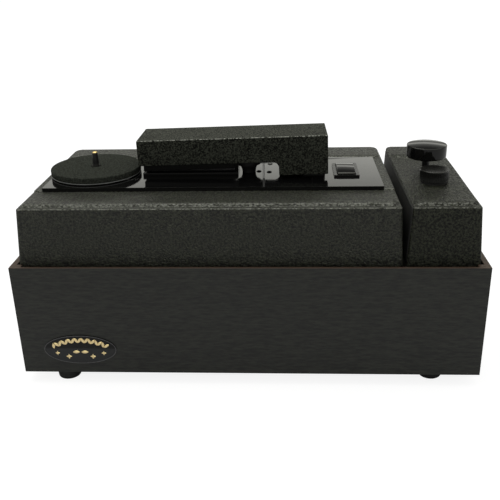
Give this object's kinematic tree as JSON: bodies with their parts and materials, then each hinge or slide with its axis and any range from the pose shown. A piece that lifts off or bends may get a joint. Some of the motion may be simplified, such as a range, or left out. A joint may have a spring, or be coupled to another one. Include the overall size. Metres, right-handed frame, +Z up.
{
  "type": "record cleaning machine",
  "caption": "Table-top record cleaning machine: black cabinet, moulded top, small platter with spindle, hinged suction arm, rocker switch, pump knob and filler cap.",
  "frame": {"origin": "centre of the part's box, at the feet's lowest face", "axes": "+Z up, +X to the right as seen from the front, +Y to the back; the front with the badge faces -Y"},
  "size_m": [0.486, 0.2552, 0.2481],
  "materials": {
    "cabinet_panel": "black laminate with a faint horizontal grain",
    "moulded_cover": "pebble-textured black moulding",
    "arm_finish": "fine crackle-textured black",
    "gloss_black": "gloss black",
    "black_metal": "black",
    "mat_foam": "fine textured dark grey",
    "black_rubber": "matte",
    "lip_velvet": "velvet pile",
    "gold": "printed gold",
    "brass": "turned",
    "spindle_sleeve": "satin black",
    "steel": "satin",
    "cream_plastic": "natural moulding",
    "light_grey_plastic": "light grey",
    "clear_tube": "milky tube"
  },
  "bodies": {
    "base": {"cabinet_front": "cabinet_panel", "cabinet_back": "cabinet_panel", "cabinet_left": "cabinet_panel", "cabinet_right": "cabinet_panel", "cabinet_base": "cabinet_panel", "corner_posts": "cabinet_panel", "feet": "black_rubber", "foot_screws": "steel", "badge_plate": "gloss_black", "badge_emblem": "gold", "cover_ledges": "cabinet_panel", "main_cover": "moulded_cover", "reservoir_cover": "moulded_cover", "deck_plate": "gloss_black", "deck_screws": "black_metal", "shaft_bearings": "brass", "gearbox_housing": "cream_plastic", "gearbox_plate": "steel", "gearbox_screws": "steel", "platter_motor": "steel", "lower_pad": "gloss_black", "lower_lips": "lip_velvet", "vacuum_plenum": "cream_plastic", "vacuum_hose": "black_rubber", "waste_tank": "cream_plastic", "suction_duct": "black_rubber", "blower_housing": "cream_plastic", "blower_lid": "cream_plastic", "blower_motor": "steel", "exhaust_duct": "cream_plastic", "hinge_bracket": "black_metal", "hinge_pin": "steel", "arm_stop_post": "light_grey_plastic", "switch_bezel": "gloss_black", "switch_pivot": "steel", "reservoir_tank": "cream_plastic", "pump_barrel": "gloss_black", "pump_spring": "steel", "fluid_tube": "clear_tube", "power_inlet": "spindle_sleeve", "wiring": "spindle_sleeve"},
    "platter": {"platter_plate": "gloss_black", "platter_mat": "mat_foam", "spindle": "spindle_sleeve", "spindle_tip": "brass", "output_gear": "cream_plastic"},
    "drive_rotor": {"motor_pinion": "brass"},
    "fan": {"impeller": "steel"},
    "arm": {"arm_shell": "arm_finish", "arm_base_plate": "arm_finish", "upper_pad": "gloss_black", "upper_lips": "lip_velvet", "arm_duct": "cream_plastic", "duct_nozzle": "black_rubber", "hinge_block": "light_grey_plastic"},
    "rocker": {"switch_rocker": "gloss_black"},
    "pump": {"pump_rod": "black_metal", "pump_knob": "gloss_black"},
    "cap_rise": {"cap_liner": "cream_plastic"},
    "cap": {"filler_cap": "gloss_black"}
  },
  "joints": [
    {"name": "platter_spin", "type": "hinge", "parent": "base", "child": "platter", "pos_m": [-0.176, 0, 0.2001], "axis": [0, 0, 1], "continuous": true},
    {"name": "drive_spin", "type": "hinge", "parent": "base", "child": "drive_rotor", "pos_m": [-0.1458, 0, 0.18], "axis": [0, 0, 1], "continuous": true},
    {"name": "fan_spin", "type": "hinge", "parent": "base", "child": "fan", "pos_m": [0.0955, 0, 0.07], "axis": [0, 0, 1], "continuous": true},
    {"name": "arm_lift", "type": "hinge", "parent": "base", "child": "arm", "pos_m": [0.0755, 0, 0.2141], "axis": [0, 1, 0], "range_deg": [0, 70]},
    {"name": "rocker_tilt", "type": "hinge", "parent": "base", "child": "rocker", "pos_m": [0.1065, 0, 0.1961], "axis": [1, 0, 0], "range_deg": [-8, 8]},
    {"name": "pump_press", "type": "slide", "parent": "base", "child": "pump", "axis": [0, 0, 1], "range_m": [-0.012, 0], "stiffness_N_per_m": 250, "springref_m": 0.02, "deforming": ["pump_spring"]},
    {"name": "cap_lift", "type": "slide", "parent": "base", "child": "cap_rise", "axis": [0, 0, 1], "range_m": [0, 0.0045]},
    {"name": "cap_turn", "type": "hinge", "parent": "cap_rise", "child": "cap", "pos_m": [0.199, -0.0318, 0.2], "axis": [0, 0, 1], "range_deg": [0, 540]}
  ],
  "couplings": [
    {"joint": "drive_spin", "follows": "platter_spin", "ratio": -3},
    {"joint": "cap_lift", "follows": "cap_turn", "m_per_rad": 0.00047746}
  ]
}
